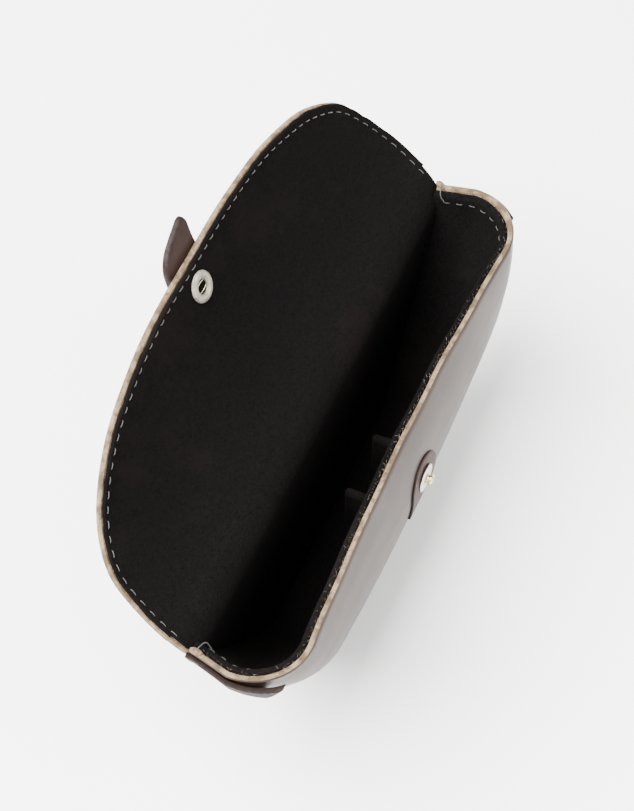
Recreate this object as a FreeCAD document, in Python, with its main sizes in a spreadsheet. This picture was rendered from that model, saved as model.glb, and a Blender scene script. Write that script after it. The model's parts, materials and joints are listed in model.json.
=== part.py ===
# Open leather glasses case: a moulded pocket with a flap lid that folds over the front onto a
# press stud.  Millimetres, +Z up, +Y to the back, the origin at the centre of the flat base.
# The lid is drawn open, leaning back, with its stud apart.
import FreeCAD, Part
import math
import os
import Sketcher
from FreeCAD import Placement, Rotation, Vector

doc = FreeCAD.newDocument("glasses_case")
dims = doc.addObject("Spreadsheet::Sheet", "dims")

SIZES = {
    # where the lid hinges: a roll of leather, back_out in radius, on the top of the back wall
    "hinge_y": 8.4, "rim_z": 58, "back_out": 1.3,
    # layers
    "leather": 1.6, "lining": 2.0, "back_lining": 1.2, "lid_lining": 1.0, "thread": 0.45,
    # the pocket's outline at six levels: height, half length at the back wall, half length at
    # the widest, depth in front of the hinge, corner radius, and how far the front bows in
    "base_z": 0, "base_back": 37, "base_end": 39, "base_depth": 17.2, "base_corner": 11,
    "base_bow": -0.8,
    "low_z": 12, "low_back": 47.5, "low_end": 50, "low_depth": 21.2, "low_corner": 15,
    "low_bow": -1.0,
    "belly_z": 27, "belly_back": 59, "belly_end": 61.8, "belly_depth": 25.4, "belly_corner": 17.5,
    "belly_bow": -1.0,
    "stud_z": 39.9, "stud_back": 68.5, "stud_end": 71.3, "stud_depth": 27.1, "stud_corner": 17.5,
    "stud_bow": -0.5,
    "neck_z": 50, "neck_back": 74.4, "neck_end": 77.0, "neck_depth": 26.8, "neck_corner": 16.5,
    "neck_bow": 0.8,
    "rim_back": 77.3, "rim_end": 79.8, "rim_depth": 25.8, "rim_corner": 15.5, "rim_bow": 2.6,
    # wings of the back leather that wrap round both ends
    "wing_thick": 1.5, "wing_drop": 0.8, "wing_reach": 22.5, "wing_foot_z": 14, "wing_foot_reach": 1,
    "wing_wide": 60,
    # leather patch under the stud, and the stud itself
    "patch_wide": 17, "patch_tall": 19, "patch_thick": 1.0, "patch_below": 2.5,
    "disc_radius": 4.6, "disc_thick": 0.6, "neck_radius": 1.2, "head_radius": 1.8,
    "head_tall": 1.4, "rivet_radius": 3.6, "rivet_thick": 0.7,
    # two ribs inside the front wall that the bridge of a pair of glasses rests between
    "rib_gap": 18, "rib_thick": 2.4, "rib_top": 22, "rib_tall": 16, "rib_reach": 10,
    "rib_root": 25,
    # the lid bends on one radius; its stations are lengths along the bend from the hinge
    "lid_radius": 58, "lid_start_angle": 20, "lid_half": 78, "lid_begin": 1.8,
    "lid_fold": 27.3, "lid_fold_half": 75.6, "fold_gap": 0.3, "lid_length": 53.2,
    "corner_side": 28, "corner_mid_x": 67.7, "corner_mid": 37, "corner_front_x": 52,
    "corner_front": 46.6, "cut_height": 30,
    # snap socket in the lid's lining, its cap outside, and the pull tab under the cap
    "socket_at": 46.0, "socket_radius": 4.5, "socket_hole": 2.2, "socket_thick": 1.3,
    "cap_radius": 5.2, "cap_thick": 1.1,
    "tab_half": 7.4, "tab_begin": 38, "tab_end": 59.8, "tab_thick": 1.8, "tab_corner": 5,
    "tab_round": 4,
    # stitching, lifted a little off the lining
    "stitch_long": 2.3, "stitch_pitch": 3.4, "stitch_inset": 2.2, "stitch_lift": 0.3,
    "lid_seam_begin": 5.5,
}
for number, (alias, size) in enumerate(SIZES.items(), start=1):
    dims.set("A%d" % number, alias)
    dims.set("B%d" % number, str(size))
    dims.setAlias("B%d" % number, alias)
doc.recompute()

LEVELS = ("base", "low", "belly", "stud", "neck", "rim")
NODES = []


def size(alias):
    """The value of one cell of the sheet."""
    return float(dims.get(alias))


def plane(body, role):
    """One of a body's own origin planes."""
    return next(item for item in body.Origin.OriginFeatures if item.Role == role)


def new_body(label, at_hinge=True):
    """An empty body, with its local origin on the hinge line's place over the base."""
    body = doc.addObject("PartDesign::Body", label)
    body.Label = label
    if at_hinge:
        body.setExpression("Placement.Base.y", "dims.hinge_y")
    return body


def new_sketch(body, name, role, height=None):
    """A sketch on one of the body's origin planes, raised by an expression if one is given."""
    sketch = body.newObject("Sketcher::SketchObject", name)
    sketch.AttachmentSupport = (plane(body, role), [""])
    sketch.MapMode = "FlatFace"
    if height:
        sketch.setExpression("AttachmentOffset.Base.z", height)
    return sketch


def bind(sketch, kind, ends, value, expression):
    """Adds one dimension to a sketch and ties it to the sheet."""
    index = sketch.addConstraint(Sketcher.Constraint(kind, *ends, value))
    sketch.setExpression("Constraints[%d]" % index, expression)


def keep(*shapes):
    """Marks finished objects as sub-parts of the case."""
    NODES.extend(shapes)


# ---------------------------------------------------------------- the moulded pocket

def level_sizes(level, inset):
    """Numbers of one level of the pocket, each with its expression, drawn in by an inset."""
    inset_value = sum(size(name) * sign for name, sign in inset)
    inset_text = "".join(" %s dims.%s" % ("-" if sign > 0 else "+", name) for name, sign in inset)
    plain = ("end", "depth", "corner", "back")
    numbers = {key: size(level + "_" + key) - inset_value for key in plain}
    texts = {key: "dims.%s_%s%s" % (level, key, inset_text) for key in plain}
    numbers["bow"] = size(level + "_bow")
    texts["bow"] = "dims.%s_bow" % level
    return numbers, texts


def pocket_outline(body, name, level, inset, back, height):
    """A level of the pocket: straight back, slightly flared ends, round corners, bowed front."""
    sketch = new_sketch(body, name, "XY_Plane", height)
    number, text = level_sizes(level, inset)
    back_value, back_text = back
    flat = number["end"] - number["corner"]
    knee = number["depth"] - number["corner"]
    front_mid = Vector(0, number["bow"] - number["depth"], 0)
    right = [Vector(flat, -number["depth"], 0), Vector(number["end"], -knee, 0),
             Vector(number["back"], back_value, 0)]
    left = [Vector(-point.x, point.y, 0) for point in right]
    turn = number["corner"] * math.sqrt(0.5)
    corner_mid = Vector(flat + turn, -knee - turn, 0)
    lines = [Part.ArcOfCircle(right[0], corner_mid, right[1]),
             Part.LineSegment(right[1], right[2]),
             Part.LineSegment(right[2], left[2]),
             Part.LineSegment(left[2], left[1]),
             Part.ArcOfCircle(left[1], Vector(-corner_mid.x, corner_mid.y, 0), left[0])]
    bows_in = number["bow"] > 0
    ends = (right[0], left[0]) if bows_in else (left[0], right[0])
    lines.append(Part.ArcOfCircle(ends[0], front_mid, ends[1]))
    sketch.addGeometry(lines, False)
    for first in range(4):
        sketch.addConstraint(Sketcher.Constraint("Coincident", first, 2, first + 1, 1))
    front_right, front_left = (1, 2) if bows_in else (2, 1)
    sketch.addConstraint(Sketcher.Constraint("Coincident", 4, 2, 5, front_left))
    sketch.addConstraint(Sketcher.Constraint("Coincident", 0, 1, 5, front_right))
    for right_end, left_end in (((0, 1), (4, 2)), ((1, 1), (3, 2)), ((2, 1), (2, 2))):
        sketch.addConstraint(Sketcher.Constraint("Symmetric", *right_end, *left_end, -2))
    end, depth, corner = text["end"], text["depth"], text["corner"]
    bind(sketch, "DistanceX", (-1, 1, 0, 1), flat, "(%s) - (%s)" % (end, corner))
    bind(sketch, "DistanceY", (0, 1, -1, 1), number["depth"], depth)
    bind(sketch, "DistanceX", (-1, 1, 1, 1), number["end"], end)
    bind(sketch, "DistanceY", (1, 1, -1, 1), knee, "(%s) - (%s)" % (depth, corner))
    bind(sketch, "DistanceX", (-1, 1, 2, 1), number["back"], text["back"])
    bind(sketch, "DistanceY", (-1, 1, 2, 1), back_value, back_text)
    for arc in (0, 4):
        bind(sketch, "Radius", (arc,), number["corner"], corner)
    bow = number["bow"]
    bind(sketch, "Radius", (5,), (flat ** 2 + bow ** 2) / (2 * abs(bow)),
         "(((%s) - (%s)) ^ 2 + (%s) ^ 2) / (2 * abs(%s))" % (end, corner, text["bow"], text["bow"]))
    return sketch


def loft(body, kind, name, sections):
    """A smooth loft, added or taken away, through sketches from the base up."""
    feature = body.newObject("PartDesign::" + kind, name)
    feature.Profile = sections[0]
    feature.Sections = sections[1:]
    feature.Ruled = False
    body.Tip = feature
    return feature


def pocket_loft(body, kind, inset, back, floor):
    """The pocket's whole form, drawn in by an inset, from a floor height up to the rim."""
    sections = []
    for level in LEVELS:
        height = floor if level == "base" else "dims.%s_z" % level
        name = "%s_%s" % (kind, level)
        sections.append(pocket_outline(body, name, level, inset, back, height))
    return loft(body, kind, kind, sections)


def pocket_shell(label, outside, inside, outer_back, outer_floor, inner_floor):
    """A moulded wall, open at the rim and at the back, where the back wall closes it."""
    body = new_body(label)
    pocket_loft(body, "AdditiveLoft", outside, outer_back, outer_floor)
    open_back = (size("back_out"), "dims.back_out")
    pocket_loft(body, "SubtractiveLoft", inside, open_back, inner_floor)
    return body


LEATHER_IN = [("leather", 1)]
LINING_IN = [("leather", 1), ("lining", 1)]
shell_back = (size("back_out") - size("leather"), "dims.back_out - dims.leather")
lining_back = (shell_back[0] - size("back_lining"), shell_back[1] + " - dims.back_lining")
keep(pocket_shell("front_shell", [], LEATHER_IN, shell_back, "dims.base_z", "dims.leather"),
     pocket_shell("body_lining", LEATHER_IN, LINING_IN, lining_back, "dims.leather",
                  "dims.leather + dims.lining"))


def wall_sheet(label, inset, faces, floor):
    """A flat sheet with the pocket's outline at the back, between two depths."""
    body = new_body(label)
    (front_value, front_text), (rear_value, rear_text) = faces
    sections = []
    for level in LEVELS:
        height = {"base": floor, "rim": "dims.rim_z - dims.back_out"}.get(level, "dims.%s_z" % level)
        sketch = new_sketch(body, "sheet_" + level, "XY_Plane", height)
        number, text = level_sizes(level, inset)
        corners = [Vector(-number["back"], front_value, 0), Vector(number["back"], front_value, 0),
                   Vector(number["back"], rear_value, 0), Vector(-number["back"], rear_value, 0)]
        sketch.addGeometry([Part.LineSegment(corners[turn], corners[(turn + 1) % 4])
                            for turn in range(4)], False)
        for turn in range(4):
            sketch.addConstraint(Sketcher.Constraint("Coincident", turn, 2, (turn + 1) % 4, 1))
        sketch.addConstraint(Sketcher.Constraint("Symmetric", 0, 2, 0, 1, -2))
        sketch.addConstraint(Sketcher.Constraint("Symmetric", 2, 1, 2, 2, -2))
        bind(sketch, "DistanceX", (-1, 1, 1, 1), number["back"], text["back"])
        bind(sketch, "DistanceX", (-1, 1, 1, 2), number["back"], text["back"])
        bind(sketch, "DistanceY", (1, 1, -1, 1), -front_value, "-(%s)" % front_text)
        bind(sketch, "DistanceY", (1, 2, -1, 1), -rear_value, "-(%s)" % rear_text)
        sections.append(sketch)
    loft(body, "AdditiveLoft", "sheet", sections)
    return body


back_face = (size("back_out"), "dims.back_out")
keep(wall_sheet("back_panel", [], (shell_back, back_face), "dims.base_z"),
     wall_sheet("back_lining", LEATHER_IN, (lining_back, shell_back), "dims.leather"))


# ---------------------------------------------------------------- layers laid on the pocket

def prism(label, points, direction):
    """A straight prism on a closed run of points, as a cutter for a layer."""
    outline = doc.addObject("Part::Feature", label + "_outline")
    outline.Shape = Part.makePolygon(points + points[:1])
    solid = doc.addObject("Part::Extrusion", label)
    solid.Base = outline
    solid.DirMode = "Custom"
    solid.Dir = direction
    solid.LengthFwd = direction.Length
    solid.Solid = True
    return solid


def common(label, base, tool):
    """What two solids share."""
    shared = doc.addObject("Part::Common", label)
    shared.Label = label
    shared.Base = base
    shared.Tool = tool
    return shared


def layer(label, thick_alias):
    """A skin of one thickness laid on the outside of the pocket."""
    body = new_body(label)
    pocket_loft(body, "AdditiveLoft", [(thick_alias, -1)], back_face, "dims.base_z")
    pocket_loft(body, "SubtractiveLoft", [], back_face, "dims.base_z")
    return body


wing_top = size("rim_z") - size("wing_drop")
hinge_y = size("hinge_y")
wing_side = [(hinge_y + size("back_out"), wing_top), (hinge_y - size("wing_reach"), wing_top),
             (hinge_y - size("wing_foot_reach"), size("wing_foot_z")),
             (hinge_y + size("back_out"), size("wing_foot_z"))]
for side, sign in (("left", -1), ("right", 1)):
    far_x = sign * (size("rim_end") + size("wing_wide") / 6)
    wedge = prism("wing_cut_" + side, [Vector(far_x, y, z) for y, z in wing_side],
                  Vector(-sign * size("wing_wide"), 0, 0))
    keep(common("end_wing_" + side, layer("wing_skin_" + side, "wing_thick"), wedge))

patch_half = size("patch_wide") / 2
patch_foot = size("stud_z") - size("patch_tall") / 2 - size("patch_below")
patch_top = patch_foot + size("patch_tall")
patch_turns = [patch_half * math.cos(math.radians(angle)) for angle in range(0, 181, 15)]
patch_rises = [patch_half * math.sin(math.radians(angle)) for angle in range(0, 181, 15)]
patch_deep = 16
patch_y = hinge_y - size("stud_depth") - patch_deep / 2
patch_points = [Vector(-patch_half, patch_y, patch_foot), Vector(patch_half, patch_y, patch_foot)]
patch_points += [Vector(x, patch_y, patch_top - patch_half + rise)
                 for x, rise in zip(patch_turns, patch_rises)]
patch_cut = prism("patch_cut", patch_points, Vector(0, patch_deep, 0))
keep(common("stud_patch", layer("patch_skin", "patch_thick"), patch_cut))


# ---------------------------------------------------------------- turned metal pieces

def turned(label, points, place):
    """A solid turned about its own +Z from a half section of (radius, height) points."""
    body = new_body(label, at_hinge=False)
    sketch = new_sketch(body, "half_section", "XZ_Plane")
    corners = [Vector(radius, height, 0) for radius, height, _, _ in points]
    count = len(corners)
    sketch.addGeometry([Part.LineSegment(corners[turn], corners[(turn + 1) % count])
                        for turn in range(count)], False)
    for turn in range(count):
        sketch.addConstraint(Sketcher.Constraint("Coincident", turn, 2, (turn + 1) % count, 1))
    for turn, (radius, height, radius_text, height_text) in enumerate(points):
        bind(sketch, "DistanceX", (-1, 1, turn, 1), radius, radius_text)
        bind(sketch, "DistanceY", (-1, 1, turn, 1), height, height_text)
    spin = body.newObject("PartDesign::Revolution", "spin")
    spin.Profile = sketch
    spin.ReferenceAxis = (sketch, ["V_Axis"])
    spin.Angle = 360
    body.Tip = spin
    body.Placement = place
    return body


def profile(*corners):
    """Half-section corners from pairs of expressions, with their values read off the sheet."""
    cells = {alias: size(alias) for alias in SIZES}
    found = []
    for radius_text, height_text in corners:
        values = [worth_of(text, cells) for text in (radius_text, height_text)]
        found.append((*values, with_sheet(radius_text), with_sheet(height_text)))
    return found


def worth_of(text, cells):
    """The value of a sum of sheet names and plain numbers."""
    total = 0.0
    for term in text.replace(" - ", " + -").split(" + "):
        sign = -1 if term.startswith("-") else 1
        word = term.lstrip("-")
        total += sign * (cells[word] if word in cells else float(word))
    return total


def with_sheet(text):
    """The same sum written for an expression."""
    words = [("dims." + word) if word in SIZES else word for word in text.split(" ")]
    return " ".join(words)


front_turn = Rotation(Vector(1, 0, 0), 90)
stud_wall = hinge_y - size("stud_depth") + size("stud_bow")
stud_seat = Placement(Vector(0, stud_wall - size("patch_thick"), size("stud_z")), front_turn)
keep(turned("snap_stud", profile(
    ("0", "0"), ("disc_radius", "0"), ("disc_radius", "disc_thick"), ("neck_radius", "disc_thick"),
    ("neck_radius", "disc_thick + 0.5"), ("head_radius", "disc_thick + 0.8"),
    ("head_radius", "disc_thick + head_tall - 0.3"), ("neck_radius", "disc_thick + head_tall"),
    ("0", "disc_thick + head_tall")), stud_seat))
rivet_seat = Placement(
    Vector(0, stud_wall + size("leather") + size("lining") + size("rivet_thick"), size("stud_z")),
    front_turn)
keep(turned("stud_rivet", profile(
    ("0", "0"), ("rivet_radius - 0.5", "0"), ("rivet_radius", "rivet_thick - 0.2"),
    ("rivet_radius", "rivet_thick"), ("0", "rivet_thick")), rivet_seat))


# ---------------------------------------------------------------- ribs for the bridge

def rib(label, centre_x):
    """An upright rib on the inside of the front wall, with a rounded inner end."""
    body = new_body(label)
    body.Placement = Placement(Vector(centre_x, hinge_y, 0), Rotation())
    body.setExpression("Placement.Base.x", "%s dims.rib_gap / 2" % ("-" if centre_x < 0 else ""))
    sketch = new_sketch(body, "plan", "XY_Plane", "dims.rim_z - dims.rib_top - dims.rib_tall")
    half = size("rib_thick") / 2
    tip = size("rib_reach") + half
    root = size("rib_root")
    corners = [Vector(half, -root, 0), Vector(half, -tip, 0), Vector(-half, -tip, 0),
               Vector(-half, -root, 0)]
    sketch.addGeometry([Part.LineSegment(corners[0], corners[1]),
                        Part.ArcOfCircle(corners[1], Vector(0, -tip + half, 0), corners[2]),
                        Part.LineSegment(corners[2], corners[3]),
                        Part.LineSegment(corners[3], corners[0])], False)
    for first in range(4):
        sketch.addConstraint(Sketcher.Constraint("Coincident", first, 2, (first + 1) % 4, 1))
    sketch.addConstraint(Sketcher.Constraint("Symmetric", 0, 2, 2, 1, -2))
    sketch.addConstraint(Sketcher.Constraint("Symmetric", 0, 1, 2, 2, -2))
    sketch.addConstraint(Sketcher.Constraint("Vertical", 0))
    bind(sketch, "DistanceY", (1, 3, -1, 1), tip, "dims.rib_reach + dims.rib_thick / 2")
    bind(sketch, "DistanceX", (-1, 1, 0, 1), half, "dims.rib_thick / 2")
    bind(sketch, "DistanceY", (0, 1, -1, 1), root, "dims.rib_root")
    bind(sketch, "DistanceY", (0, 2, -1, 1), tip, "dims.rib_reach + dims.rib_thick / 2")
    pad = body.newObject("PartDesign::Pad", "height")
    pad.Profile = sketch
    pad.setExpression("Length", "dims.rib_tall")
    body.Tip = pad
    return body


for side, sign in (("left", -1), ("right", 1)):
    whole_rib = rib("rib_block_" + side, sign * size("rib_gap") / 2)
    trimmer = new_body("rib_room_" + side)
    pocket_loft(trimmer, "AdditiveLoft", LINING_IN, back_face, "dims.leather + dims.lining")
    keep(common("nose_rib_" + side, whole_rib, trimmer))


# ---------------------------------------------------------------- the bent lid

start_angle = math.radians(size("lid_start_angle"))
lid_radius = size("lid_radius")
bend_y = hinge_y - lid_radius * math.sin(start_angle)
bend_z = size("rim_z") + lid_radius * math.cos(start_angle)


def lid_point(x, along, depth=0.0):
    """A point on the lid: across, along the bend from the hinge, and outward of the lining."""
    angle = start_angle + along / lid_radius
    reach = lid_radius + depth
    return Vector(x, bend_y + reach * math.sin(angle), bend_z - reach * math.cos(angle))


def lid_turn(along):
    """The rotation that lays a flat piece on the lid: its +Z points out of the lining."""
    return Rotation(Vector(1, 0, 0), 180 + math.degrees(start_angle + along / lid_radius))


def bent_sheet(label, depth, thick, begin, end, half):
    """A sheet bent round the lid's axis between two stations: depth and thick are sheet names."""
    body = new_body(label, at_hinge=False)
    sketch = new_sketch(body, "section", "XZ_Plane")
    inner_text = "dims.lid_radius + (%s)" % depth[1]
    inner = lid_radius + depth[0]
    low, high = -inner - size(thick), -inner
    corners = [Vector(-half[0], low, 0), Vector(half[0], low, 0), Vector(half[0], high, 0),
               Vector(-half[0], high, 0)]
    sketch.addGeometry([Part.LineSegment(corners[turn], corners[(turn + 1) % 4])
                        for turn in range(4)], False)
    for turn in range(4):
        sketch.addConstraint(Sketcher.Constraint("Coincident", turn, 2, (turn + 1) % 4, 1))
    sketch.addConstraint(Sketcher.Constraint("Symmetric", 0, 2, 0, 1, -2))
    sketch.addConstraint(Sketcher.Constraint("Symmetric", 2, 1, 2, 2, -2))
    bind(sketch, "DistanceX", (-1, 1, 1, 1), half[0], half[1])
    bind(sketch, "DistanceX", (-1, 1, 1, 2), half[0], half[1])
    bind(sketch, "DistanceY", (1, 2, -1, 1), inner, inner_text)
    bind(sketch, "DistanceY", (1, 1, -1, 1), inner + size(thick), inner_text + " + dims." + thick)
    spin = body.newObject("PartDesign::Revolution", "bend")
    spin.Profile = sketch
    spin.ReferenceAxis = (sketch, ["H_Axis"])
    spin.setExpression("Angle", "((%s) - (%s)) / dims.lid_radius * 180 / pi" % (end[1], begin[1]))
    body.Tip = spin
    first = math.degrees(start_angle + begin[0] / lid_radius)
    body.Placement = Placement(Vector(0, bend_y, bend_z), Rotation(Vector(1, 0, 0), first))
    return body


no_depth = (0, "0")
skin_depth = (size("lid_lining"), "dims.lid_lining")
lid_begin = (size("lid_begin"), "dims.lid_begin")
fold_low = (size("lid_fold") - size("fold_gap"), "dims.lid_fold - dims.fold_gap")
fold_high = (size("lid_fold") + size("fold_gap"), "dims.lid_fold + dims.fold_gap")
flap_end = (size("lid_length") + 1, "dims.lid_length + 1")
lid_half = (size("lid_half"), "dims.lid_half")


def outline_prism(label, edges, middle):
    """A prism through the lid with an outline drawn in stations on the flat of its middle."""
    height = size("cut_height")
    outline = doc.addObject("Part::Feature", label + "_outline")
    outline.Shape = Part.Wire([edge.toShape() for edge in edges])
    outline.Placement = Placement(lid_point(0, middle, height / 2), lid_turn(middle))
    solid = doc.addObject("Part::Extrusion", label)
    solid.Base = outline
    solid.DirMode = "Custom"
    solid.Dir = lid_turn(middle).multVec(Vector(0, 0, -1))
    solid.LengthFwd = height
    solid.Solid = True
    return solid


def flat_station(along, middle):
    """How far a station lies from the middle, seen square on; the local Y runs to the hinge."""
    return -lid_radius * math.sin((along - middle) / lid_radius)


def flap_edges(middle, inset=0.0):
    """The flap's outline: straight sides, round corners and a gently bowed free edge."""
    def spot(x, along):
        return Vector(x, flat_station(along, middle), 0)
    slanted = inset * math.sqrt(0.5)
    fold = spot(size("lid_fold_half") - inset, size("lid_fold"))
    side = spot(size("lid_fold_half") - inset, size("corner_side"))
    mid = spot(size("corner_mid_x") - slanted, size("corner_mid") - slanted)
    front = spot(size("corner_front_x") - inset / 2, size("corner_front") - inset)
    tip = spot(0, size("lid_length") - inset)

    def mirror(point):
        return Vector(-point.x, point.y, 0)
    return [Part.LineSegment(fold, side), Part.Arc(side, mid, front),
            Part.Arc(front, tip, mirror(front)), Part.Arc(mirror(front), mirror(mid), mirror(side)),
            Part.LineSegment(mirror(side), mirror(fold)), Part.LineSegment(mirror(fold), fold)]


def panel_edges(middle):
    """The main panel's outline, a little narrower at the fold than at the hinge."""
    wide = size("lid_half")
    narrow = size("lid_fold_half")
    spare = size("lid_begin")
    low = flat_station(size("lid_begin") - spare, middle)
    high = flat_station(size("lid_fold") + spare, middle)
    corners = [Vector(wide, low, 0), Vector(narrow, high, 0), Vector(-narrow, high, 0),
               Vector(-wide, low, 0)]
    return [Part.LineSegment(corners[turn], corners[(turn + 1) % 4]) for turn in range(4)]


flap_middle = (size("lid_fold") + size("lid_length")) / 2
panel_middle = (size("lid_begin") + size("lid_fold")) / 2
for name, begin, end, middle, edges in (
        ("lid", lid_begin, fold_low, panel_middle, panel_edges(panel_middle)),
        ("flap", fold_high, flap_end, flap_middle, flap_edges(flap_middle))):
    for layer_name, depth, thick in (("lining", no_depth, "lid_lining"),
                                     ("leather", skin_depth, "leather")):
        blank = bent_sheet("%s_%s_blank" % (name, layer_name), depth, thick, begin, end, lid_half)
        cutter = outline_prism("%s_%s_cut" % (name, layer_name), edges, middle)
        keep(common("%s_%s" % (name, layer_name), blank, cutter))

tab_begin = (size("tab_begin"), "dims.tab_begin")
tab_end = (size("tab_end"), "dims.tab_end")
tab_depth = (size("lid_lining") + size("leather"), "dims.lid_lining + dims.leather")
tab_blank = bent_sheet("tab_blank", tab_depth, "tab_thick", tab_begin, tab_end,
                       (size("tab_half"), "dims.tab_half"))
tab_middle = (size("tab_begin") + size("tab_end")) / 2
flatten = 1 + (tab_depth[0] + size("tab_thick")) / lid_radius
tab_low = flat_station(size("tab_begin"), tab_middle) * flatten
tab_high = flat_station(size("tab_end"), tab_middle) * flatten
tab_half = size("tab_half")
tab_corner = size("tab_corner")
tab_root = tab_low - size("tab_round")
bulge = tab_corner * (1 - math.sqrt(0.5))


def tab_arc(first, middle, last):
    """A quarter round at one corner of the tab."""
    return Part.Arc(Vector(*first, 0), Vector(*middle, 0), Vector(*last, 0))


tab_outline = [
    Part.LineSegment(Vector(tab_half, tab_root, 0), Vector(tab_half, tab_high + tab_corner, 0)),
    tab_arc((tab_half, tab_high + tab_corner), (tab_half - bulge, tab_high + bulge),
            (tab_half - tab_corner, tab_high)),
    Part.LineSegment(Vector(tab_half - tab_corner, tab_high, 0),
                     Vector(tab_corner - tab_half, tab_high, 0)),
    tab_arc((tab_corner - tab_half, tab_high), (bulge - tab_half, tab_high + bulge),
            (-tab_half, tab_high + tab_corner)),
    Part.LineSegment(Vector(-tab_half, tab_high + tab_corner, 0),
                     Vector(-tab_half, tab_root, 0)),
    Part.Arc(Vector(-tab_half, tab_root, 0), Vector(0, tab_low, 0),
             Vector(tab_half, tab_root, 0))]
keep(common("pull_tab", tab_blank, outline_prism("tab_cut", tab_outline, tab_middle)))

fold_roll = doc.addObject("Part::Cylinder", "hinge_fold")
fold_roll.Label = "hinge_fold"
fold_roll.Placement = Placement(Vector(size("leather") - size("rim_back"), hinge_y, size("rim_z")),
                                Rotation(Vector(0, 1, 0), 90))
fold_roll.setExpression("Radius", "dims.back_out")
fold_roll.setExpression("Height", "2 * (dims.rim_back - dims.leather)")
fold_roll.setExpression("Placement.Base.y", "dims.hinge_y")
fold_roll.setExpression("Placement.Base.z", "dims.rim_z")

socket_at = size("socket_at")
socket_seat = Placement(lid_point(0, socket_at), lid_turn(socket_at) * Rotation(Vector(1, 0, 0), 180))
keep(turned("snap_socket", profile(
    ("socket_hole", "0"), ("socket_radius", "0"), ("socket_radius", "0.4"),
    ("socket_radius - 0.7", "socket_thick"), ("socket_hole + 0.4", "socket_thick"),
    ("socket_hole", "socket_thick - 0.4")), socket_seat))
cap_depth = tab_depth[0] + size("tab_thick")
cap_seat = Placement(lid_point(0, socket_at, cap_depth), lid_turn(socket_at))
keep(turned("snap_cap", profile(
    ("0", "0"), ("cap_radius", "0"), ("cap_radius", "0.3"), ("cap_radius - 0.6", "cap_thick - 0.3"),
    ("cap_radius - 2.2", "cap_thick"), ("0", "cap_thick")), cap_seat))
keep(fold_roll)


# ---------------------------------------------------------------- stitching

def stitches(label, places):
    """One group of equal stitches: small bars of thread, each with its long side along X."""
    bar = Part.makeBox(size("stitch_long"), size("thread"), size("thread"),
                       Vector(-size("stitch_long") / 2, -size("thread") / 2, 0))
    group = doc.addObject("Part::Feature", label)
    bars = []
    for place in places:
        copy = bar.copy()
        copy.Placement = place
        bars.append(copy)
    group.Shape = Part.makeCompound(bars)
    keep(group)


def along_edges(edges, pitch):
    """Evenly spaced points and directions along a run of edges."""
    wire = Part.Wire(edges)
    count = int(wire.Length / pitch)
    start = (wire.Length - (count - 1) * pitch) / 2
    found = []
    for number in range(count):
        left = start + number * pitch
        for edge in wire.OrderedEdges:
            if left <= edge.Length:
                spot = edge.getParameterByLength(left)
                if edge.Orientation == "Reversed":
                    spot = edge.getParameterByLength(edge.Length - left)
                found.append((edge.valueAt(spot), edge.tangentAt(spot)))
                break
            left -= edge.Length
    return found


def on_lid(middle, found):
    """Places for stitches on the lid's lining from points drawn on the flat of a middle."""
    places = []
    for point, tangent in found:
        along = middle - lid_radius * math.asin(point.y / lid_radius)
        turn = math.degrees(math.atan2(tangent.y, tangent.x))
        flat = Rotation(Vector(0, 0, 1), turn) * Rotation(Vector(1, 0, 0), 180)
        places.append(Placement(lid_point(point.x, along, -size("stitch_lift")), lid_turn(along) * flat))
    return places


pitch = size("stitch_pitch")
inset = size("stitch_inset")
flap_seam = [edge.toShape() for edge in flap_edges(flap_middle, inset)[:5]]
stitches("flap_stitching", on_lid(flap_middle, along_edges(flap_seam, pitch)))
side_places = []
for sign in (-1, 1):
    side_x = sign * (size("lid_half") - inset)
    seam = Part.LineSegment(Vector(side_x, flat_station(size("lid_seam_begin"), panel_middle), 0),
                            Vector(side_x, flat_station(size("lid_fold") - 1, panel_middle), 0))
    side_places += on_lid(panel_middle, along_edges([seam.toShape()], pitch))
stitches("lid_stitching", side_places)


def pocket_edges(inset, height):
    """The open run of the pocket's outline between its top two levels, round the front."""
    share = (height - size("neck_z")) / (size("rim_z") - size("neck_z"))
    neck, _ = level_sizes("neck", inset)
    rim, _ = level_sizes("rim", inset)
    number = {key: neck[key] + share * (rim[key] - neck[key]) for key in rim}
    flat = number["end"] - number["corner"]
    knee = number["depth"] - number["corner"]
    turn = number["corner"] * math.sqrt(0.5)
    seam_end = lining_back[0] - size("stitch_long") / 2

    def spot(x, y):
        return Vector(x, hinge_y + y, height)
    return [Part.LineSegment(spot(-number["back"], seam_end), spot(-number["end"], -knee)),
            Part.Arc(spot(-number["end"], -knee), spot(-flat - turn, -knee - turn),
                     spot(-flat, -number["depth"])),
            Part.Arc(spot(-flat, -number["depth"]), spot(0, number["bow"] - number["depth"]),
                     spot(flat, -number["depth"])),
            Part.Arc(spot(flat, -number["depth"]), spot(flat + turn, -knee - turn),
                     spot(number["end"], -knee)),
            Part.LineSegment(spot(number["end"], -knee), spot(number["back"], seam_end))]


def upright(found):
    """Places for stitches on an upright wall: long side level, standing off the wall."""
    places = []
    for point, tangent in found:
        turn = math.degrees(math.atan2(tangent.y, tangent.x))
        spin = Rotation(Vector(0, 0, 1), turn) * Rotation(Vector(1, 0, 0), -90)
        places.append(Placement(point, spin))
    return places


standing_in = LINING_IN + [("stitch_lift", 1)]
rim_seam = [edge.toShape() for edge in pocket_edges(standing_in, size("rim_z") - inset)]
stitches("rim_stitching", upright(along_edges(rim_seam, pitch)))


# ---------------------------------------------------------------- checks and files

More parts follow.
